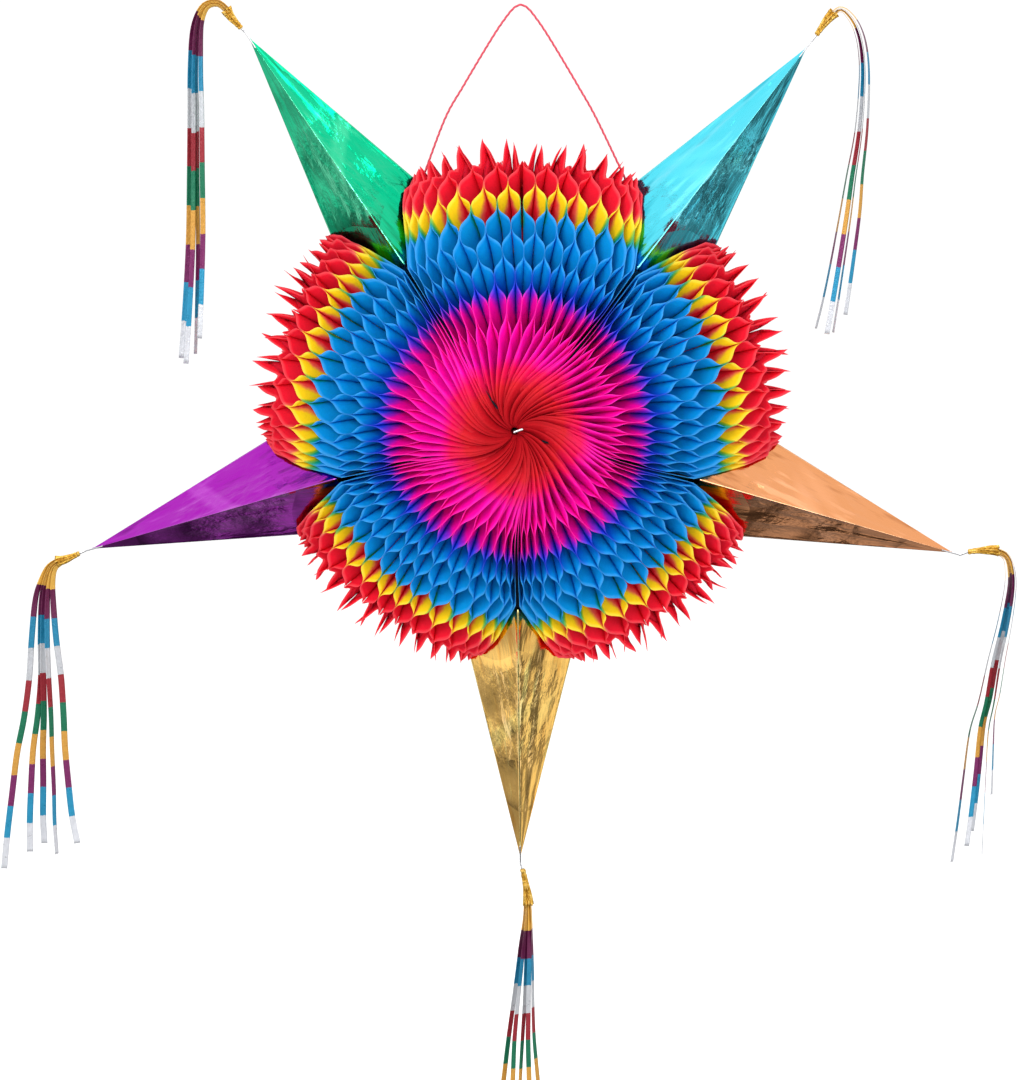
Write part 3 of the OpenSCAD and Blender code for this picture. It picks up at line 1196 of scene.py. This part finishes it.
class FoilPoints:
    """All five foil points; the gold one is two halves that meet at the fan's ends."""

    def build(self) -> None:
        """Makes every point with its own finish."""
        finishes = {
            Point.GREEN: FoilFinish("green_foil", (0.0, 0.50, 0.24), (0.0, 0.34, 0.15), 126),
            Point.TEAL: FoilFinish("teal_foil", (0.08, 0.64, 0.78), (0.03, 0.44, 0.57), 52),
            Point.PURPLE: FoilFinish("purple_foil", (0.36, 0.012, 0.42), (0.2, 0.006, 0.24), 198),
            Point.ORANGE: FoilFinish("orange_foil", (0.72, 0.30, 0.12), (0.5, 0.18, 0.06), 342),
            Point.GOLD: FoilFinish("gold_foil", (1.0, 0.60, 0.15), (0.88, 0.43, 0.07), 270),
        }
        made = {point: finish.build() for point, finish in finishes.items()}
        for seed, point in enumerate((Point.GREEN, Point.TEAL, Point.PURPLE, Point.ORANGE)):
            w = point.word
            FoilPoint(
                f"{w}_foil_point", point.value, f"{w}_point", f"{w}_fold", f"{w}_cone", 40 + seed
            ).build(made[point])
        for side, word in ((-1, "left"), (1, "right")):
            FoilPoint(
                f"gold_foil_{word}_half", 270, f"gold_{word}_point", f"gold_{word}_fold",
                f"gold_{word}_cone", 50 + side, side=side,
            ).build(made[Point.GOLD])


# ---------------------------------------------------------------- hanging cord


@dataclass
class HangingCord:
    """The red cord loop: three twisted strands, with a knot at each end."""

    radius: float = 0.0008
    lay: float = 0.0062
    half: tuple = (
        (0, 0), (3, -1), (6, -3.5), (10, -8.5), (16, -17), (26, -33), (38, -53), (50, -74),
    )

    knot_radius: float = 0.163

    def knot_place(self, point: Point, side: int) -> np.ndarray:
        """Where a knot sits, just outside a point's side edge.

        Args:
            point: the foil point.
            side: 1 for its anticlockwise edge, -1 for the other.
        Returns:
            The place in metres.
        """
        a = math.radians(point.value)
        w = side * ((TIP - self.knot_radius) * 0.24562 + 0.0028)
        x = self.knot_radius * math.cos(a) - w * math.sin(a)
        z = self.knot_radius * math.sin(a) + w * math.cos(a)
        return np.array([x, 0, z + MIDDLE_Z])

    def tube(self, name: str, line: np.ndarray, finish: bpy.types.Material) -> bpy.types.Object:
        """A three-strand tube along a line.

        The radius swells three times round the section, and the swelling turns once in each
        lay along the line.

        Args:
            name: the piece's name.
            line: its centre line.
            finish: the cord's material.
        Returns:
            The piece.
        """
        _, one, two = frames_along(line, np.array([0.0, 1.0, 0.0]))
        along = np.r_[0, np.cumsum(np.linalg.norm(np.diff(line, axis=0), axis=1))]
        turn = np.linspace(0, 2 * np.pi, 12, endpoint=False)
        swell = np.cos(3 * turn[None] - 3 * np.pi * along[:, None] / self.lay)
        points = around(line, one, two, turn, self.radius * (0.9 + 0.12 * swell))
        faces = grid_faces(len(line), 12, closed=True).tolist()
        faces += [list(range(11, -1, -1)), [(len(line) - 1) * 12 + j for j in range(12)]]
        return add_mesh(name, points, faces, finish, values={"strand": swell * 0.5 + 0.5})

    def knot(self, name: str, place: np.ndarray, finish: bpy.types.Material) -> bpy.types.Object:
        """A small overhand knot, as a trefoil of the same cord drawn tight.

        Args:
            name: the piece's name.
            place: its middle.
            finish: the cord's material.
        Returns:
            The piece.
        """
        t = np.linspace(0, 2 * np.pi, 97)
        line = np.stack(
            [np.sin(t) + 2 * np.sin(2 * t), 1.1 * -np.sin(3 * t), np.cos(t) - 2 * np.cos(2 * t)], 1
        )
        line = place + line * 0.00052
        _, one, two = frames_along(line, np.array([0.13, 1.0, 0.21]))
        turn = np.linspace(0, 2 * np.pi, 10, endpoint=False)
        swell = np.cos(3 * turn[None] - 14 * t[:, None])
        points = around(line, one, two, turn, 0.00072 * (0.92 + 0.1 * swell))
        faces = grid_faces(len(line), len(turn), closed=True)
        return add_mesh(name, points, faces, finish, values={"strand": swell * 0.5 + 0.5})

    def build(self, finish: bpy.types.Material) -> None:
        """Makes the cord and its knots, and attaches them to the hub.

        Args:
            finish: the cord's material.
        """
        right, left = self.knot_place(Point.TEAL, 1), self.knot_place(Point.GREEN, -1)
        half = np.array([[x, 0, z] for x, z in self.half]) / 1000
        other = half[:0:-1] * [-1, 1, 1]
        near_r, near_l = unit(right - half[-1]), unit(left - other[0])
        route = np.vstack([left - 0.0015 * near_l, other, half, right - 0.0015 * near_r])
        line = round_route(route, 620)
        cord = self.tube("red_hanging_cord", line, finish)
        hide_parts("hanging_cord")
        knots = [
            self.knot("left_cord_knot", left, finish),
            self.knot("right_cord_knot", right, finish),
        ]
        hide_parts("left_knot")
        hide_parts("right_knot")
        for obj in (cord, *knots):
            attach(obj, "hub")
            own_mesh(obj)
        length_of(line)
        LOG.info("hanging cord: %.0f mm", length_of(line) * 1000)


# ---------------------------------------------------------------- tassels


@dataclass
class Tassel:
    """One tip's tassel: a gathered gold head and its limp foil streamers."""

    point: Point
    way: float
    tie: float
    head: float
    route: tuple
    fan: tuple
    twists: tuple
    seed: int
    width: float = 0.0035

    def gather(self, finish: bpy.types.Material) -> bpy.types.Object:
        """The gathered head: a sleeve of foil pleats that opens towards the streamers.

        The radius grows from neck to mouth and is folded nine times round, deeper at the mouth.

        Args:
            finish: the gathered foil's material.
        Returns:
            The piece.
        """
        rng = np.random.default_rng(self.seed)
        rows, cols = 40, 54
        s = np.linspace(0, 1, rows)[:, None]
        turn = np.linspace(0, 2 * np.pi, cols, endpoint=False)[None]
        size = 0.0017 + 0.0005 * np.sin(np.pi * np.clip(s / 0.25, 0, 1)) + 0.0019 * s**1.4
        folds = np.sin(9 * turn + 1.2 * np.sin(3 * s) + rng.uniform(0, 6)) * (0.1 + 0.22 * s)
        waist = 1 - 0.25 * np.exp(-(((s - 0.13) / 0.05) ** 2))
        r = size * waist * (1 + folds + 0.05 * np.sin(5 * turn + 9 * s))
        r = np.where(s < 0.02, r * 0.75, r)
        x = self.tie / 1000 + s * (self.head + 0.6) / 1000 * (1 + 0.03 * np.sin(4 * turn) * s)
        flatness = 0.86
        a = math.radians(self.way)
        u, w = r * np.cos(turn), r * np.sin(turn) * flatness
        bend = 0.0006 * np.sin(np.pi * s)
        points = np.stack(
            [
                x * math.cos(a) - (w + bend) * math.sin(a),
                u + 0 * x,
                x * math.sin(a) + (w + bend) * math.cos(a),
            ],
            -1,
        ).reshape(-1, 3) + self.point.tip
        faces = grid_faces(rows, cols, closed=True).tolist() + [list(range(cols))]
        obj = add_mesh(f"{self.point.word}_gathered_foil", points, faces, finish)
        obj.data.flip_normals()
        wall = obj.modifiers.new("foil", "SOLIDIFY")
        wall.thickness = 0.0002
        wall.offset = 1.0
        return obj

    def streamer(
        self, number: int, finish: bpy.types.Material
    ) -> tuple[bpy.types.Object, np.ndarray]:
        """One streamer: a narrow strip that twists as it hangs.

        Its width starts front to back, so that the strip bends easily over the tassel's head,
        and turns with the length by the twist given.

        Args:
            number: which streamer of the tassel it is.
            finish: the streamers' material.
        Returns:
            The piece and its centre line.
        """
        rng = np.random.default_rng(self.seed * 10 + number)
        base = np.array(self.route, float)
        way = math.radians(self.way)
        base[0] -= 2.5 * np.array([math.cos(way), math.sin(way)])
        i = np.linspace(0, 1, len(base))
        end = np.array(self.fan[number], float)
        slope = np.gradient(base, axis=0)
        slope = slope / np.linalg.norm(slope, axis=1, keepdims=True)
        u = (number - (len(self.fan) - 1) / 2) * 1.0
        route = np.stack(
            [
                base[:, 0] + i**1.5 * end[0] - u * slope[:, 1],
                i * end[1],
                base[:, 1] + i**4 * end[2] + u * slope[:, 0],
            ],
            1,
        )
        wander = np.interp(i, np.linspace(0, 1, 5), np.r_[0, 0, rng.uniform(-1, 1, 3)]) * 2.0
        route[:, 0] += wander * 0.6
        route[:, 1] += wander * 0.8
        line = round_route(route / 1000 + self.point.tip, 91)
        t, side, other = frames_along(line, np.array([0.0, 1.0, 0.0]))
        s = np.linspace(0, 1, len(line))
        start, turns = self.twists[number]
        early = 0.5 + 0.5 * np.clip(s / 0.18, 0, 1) ** 1.3
        spin = np.radians(start * early + turns * np.clip(s - 0.12, 0, 1))
        across = side * np.cos(spin)[:, None] + other * np.sin(spin)[:, None]
        normal = np.cross(t, across)
        cols = np.linspace(-0.5, 0.5, 5)
        cup = (cols**2 * 0.0011)[None] * (0.3 + 0.7 * np.sin(5 * s)[:, None] ** 2)
        points = line[:, None] + across[:, None] * (cols * self.width)[None, :, None]
        points = points + normal[:, None] * cup[..., None]
        along = np.repeat(s[:, None], 5, 1)
        obj = add_mesh(
            f"{self.point.word}_streamer_{number + 1}", points.reshape(-1, 3),
            grid_faces(len(line), 5), finish, values={"along": along},
        )
        thicken(obj, STRIP_THICKNESS)
        return obj, line

    def build(self, gold: bpy.types.Material, printed: bpy.types.Material) -> None:
        """Makes the tassel's pieces and attaches them to the tassel's body.

        Args:
            gold: the gathered foil's material.
            printed: the streamers' material.
        """
        word = self.point.word
        body = f"{word}_tassel"
        head = self.gather(gold)
        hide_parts(f"{word}_gather")
        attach(head, body)
        for number in range(len(self.fan)):
            strip, line = self.streamer(number, printed)
            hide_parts(f"{word}_streamers")
            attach(strip, body)
            length_of(line)
        LOG.info("%s tassel: %d streamers", word, len(self.fan))


TASSELS = (
    Tassel(
        Point.GREEN, 129, 8, 15,
        ((-15, 19), (-19, 22), (-24, 22.5), (-29, 20), (-33, 12), (-35, 0), (-36, -25), (-36, -50),
         (-36.5, -90), (-37, -134), (-39, -178), (-41, -212)),
        ((-5, 5, 0), (-2.5, -4, -3), (1, 2, 3), (4, -6, 14)),
        ((62, 30), (40, 50), (66, -40), (48, 60)), 61,
    ),
    Tassel(
        Point.TEAL, 52, 10, 18,
        ((17.5, 22.5), (21, 24.5), (26, 22), (32, 13.5), (36, 0), (37.5, -20), (36, -54), (32, -85),
         (29, -111), (24, -145), (20, -170), (17, -187)),
        ((-7, 4, 2), (-2, -5, -1), (3, 1, 0), (8, -3, 12)),
        ((10, 22), (38, 50), (6, -30), (20, 40)), 62,
    ),
    Tassel(
        Point.PURPLE, 200, 9, 16,
        ((-24.5, -9.5), (-28, -13), (-32, -22), (-35, -35), (-37, -62), (-38, -89), (-40, -116),
         (-43, -140), (-45, -167), (-47, -192), (-48, -215)),
        ((-13, -4, -6), (2, 3, 4), (10, 7, 9), (20, -2, 4), (32, 5, 10)),
        ((58, 15), (42, 40), (64, 25), (50, -30), (60, 25)), 63, width=0.0043,
    ),
    Tassel(
        Point.ORANGE, 3, 10, 20,
        ((31, 1.5), (35, -2), (38, -9), (39, -23), (36, -47), (31, -74), (27, -101), (23, -121),
         (21, -150), (19, -180), (17, -206)),
        ((-12, 4, -8), (-4, -7, 6), (1, 6, 14), (5, -3, 0), (10, 2, 40)),
        ((12, 30), (34, 50), (52, 30), (44, -50), (6, 24)), 64,
    ),
    Tassel(
        Point.GOLD, 279, 9, 25,
        ((5.5, -35), (5, -45), (4, -60), (3, -80), (1.5, -105), (0, -130), (-1, -155), (-2, -180),
         (-2, -205), (-2, -226)),
        ((-15, 3, 2), (-6, -5, -1), (3, 2, -3), (11, -2, 0), (18, 6, 8)),
        ((48, 40), (36, 60), (56, -30), (62, 25), (20, 50)), 65,
    ),
)


# ---------------------------------------------------------------- studio


@dataclass
class Studio:
    """The camera, the pale floor and the soft lights."""

    distance: float = 2.02
    azimuth: float = 1.8
    elevation: float = 8.0
    aim: tuple = (-0.0064, 0.0, -0.355)
    bands: tuple = (
        (0.2, 0.04), (0.34, 0.13), (0.41, 0.31), (0.5, 0.68), (0.62, 1.0), (1.0, 1.0),
    )

    def camera(self) -> None:
        """Places the camera a little above the star's front and slightly to its right."""
        a, e = math.radians(self.azimuth), math.radians(self.elevation)
        way = Vector((math.sin(a) * math.cos(e), -math.cos(a) * math.cos(e), math.sin(e)))
        data = bpy.data.cameras.new("camera")
        data.lens = 100.0
        data.sensor_width = 36.0
        data.clip_end = 50.0
        obj = bpy.data.objects.new("camera", data)
        obj.location = Vector(self.aim) + way * self.distance
        obj.rotation_euler = (-way).to_track_quat("-Z", "Y").to_euler()
        bpy.context.scene.collection.objects.link(obj)
        bpy.context.scene.camera = obj

    def lamp(self, name: str, place: tuple, size: tuple, watts: float, tint: tuple) -> None:
        """A rectangular soft light aimed at the star's middle.

        Args:
            name: the light's name.
            place: where it stands.
            size: its width and height in metres.
            watts: its power.
            tint: its colour.
        """
        data = bpy.data.lights.new(name, "AREA")
        data.shape = "RECTANGLE"
        data.size, data.size_y = size
        data.energy = watts
        data.color = tint
        obj = bpy.data.objects.new(name, data)
        obj.location = place
        aim = Vector((0, 0, MIDDLE_Z)) - Vector(place)
        obj.rotation_euler = aim.to_track_quat("-Z", "Y").to_euler()
        bpy.context.scene.collection.objects.link(obj)

    def floor(self) -> None:
        """A wide plain white floor below the streamers."""
        n = Nodes("studio_floor")
        n.surface(Base_Color=(0.97, 0.97, 0.97), Roughness=0.9)
        turn = np.linspace(0, 2 * np.pi, 64, endpoint=False)
        points = np.stack([9 * np.cos(turn), 9 * np.sin(turn), np.full(64, FLOOR_Z)], 1)
        obj = add_mesh("floor", points, [list(range(64))], n.owner)
        obj.visible_glossy = False

    def sky(self) -> None:
        """A white sky, which glossy things see as bands from dark below to white above.

        A band's place is the height times 0.32 plus noise, so that the bands are uneven.
        """
        n = Nodes("studio", sky=True)
        bpy.context.scene.world = n.owner
        spot = n.add("TexCoord").outputs["Generated"]
        height = n.add("SeparateXYZ")
        n.join(spot, height.inputs[0])
        haze = n.sum("ADD", n.sum("MULTIPLY", n.noise(3.2, 1.5, spot=spot), 0.85), 0.15)
        place = n.sum("ADD", n.sum("MULTIPLY", height.outputs[2], 0.32), haze)
        stops = [(0.0, (0.05, 0.05, 0.06))] + [(at, grey(level)) for at, level in self.bands]
        plain, banded, both = n.add("Background"), n.add("Background"), n.add("MixShader")
        n.feed((1.0, 1.0, 1.0, 1.0), plain.inputs[0])
        n.feed(1.06, plain.inputs[1])
        n.feed(n.ramp(place, stops), banded.inputs[0])
        n.feed(1.25, banded.inputs[1])
        n.join(n.add("LightPath").outputs["Is Glossy Ray"], both.inputs[0])
        n.join(plain.outputs[0], both.inputs[1])
        n.join(banded.outputs[0], both.inputs[2])
        n.join(both.outputs[0], n.output.inputs[0])

    def build(self) -> None:
        """Makes the sky, the floor and the lights, and sets how colours are shown."""
        self.sky()
        self.floor()
        self.lamp("key", (-0.9, -2.2, 0.9), (1.0, 1.0), 40.0, (1.0, 0.99, 0.97))
        self.lamp("fill", (1.6, -1.6, 0.1), (1.2, 1.2), 14.0, (0.97, 0.98, 1.0))
        self.lamp("top", (0.2, 0.2, 1.6), (1.4, 1.4), 14.0, (1.0, 1.0, 1.0))
        bpy.context.scene.view_settings.view_transform = "Standard"


# ---------------------------------------------------------------- the whole part


def dress_frame(nodes: dict) -> None:
    """Gives the carried-over wire, ties, cards and studs their finishes.

    Args:
        nodes: the frame's pieces by name.
    """
    wire, card, plastic = WIRE.build(), SHADE_DARK_CARD.build(), PLASTIC.build()
    kinds = {"_wire": wire, "_tie": wire, "_card": card, "_stud": plastic}
    for name, obj in nodes.items():
        for ending, finish in kinds.items():
            if name.endswith(ending):
                for held in obj.material_slots:
                    held.material = finish


def main() -> None:
    """Builds the camera and cords first, then the points, the tissue and the studio."""
    logging.basicConfig(level=logging.INFO, format="%(message)s")
    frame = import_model()
    studio = Studio()
    studio.camera()
    HangingCord().build(CordYarn().build())
    gold, printed = GatheredGold().build(), StreamerFinish().build()
    for tassel in TASSELS:
        tassel.build(gold, printed)
    FoilPoints().build()
    TissueBody().build(TissueFinish().build())
    dress_frame(frame["nodes"])
    studio.build()


if __name__ == "__main__":
    main()
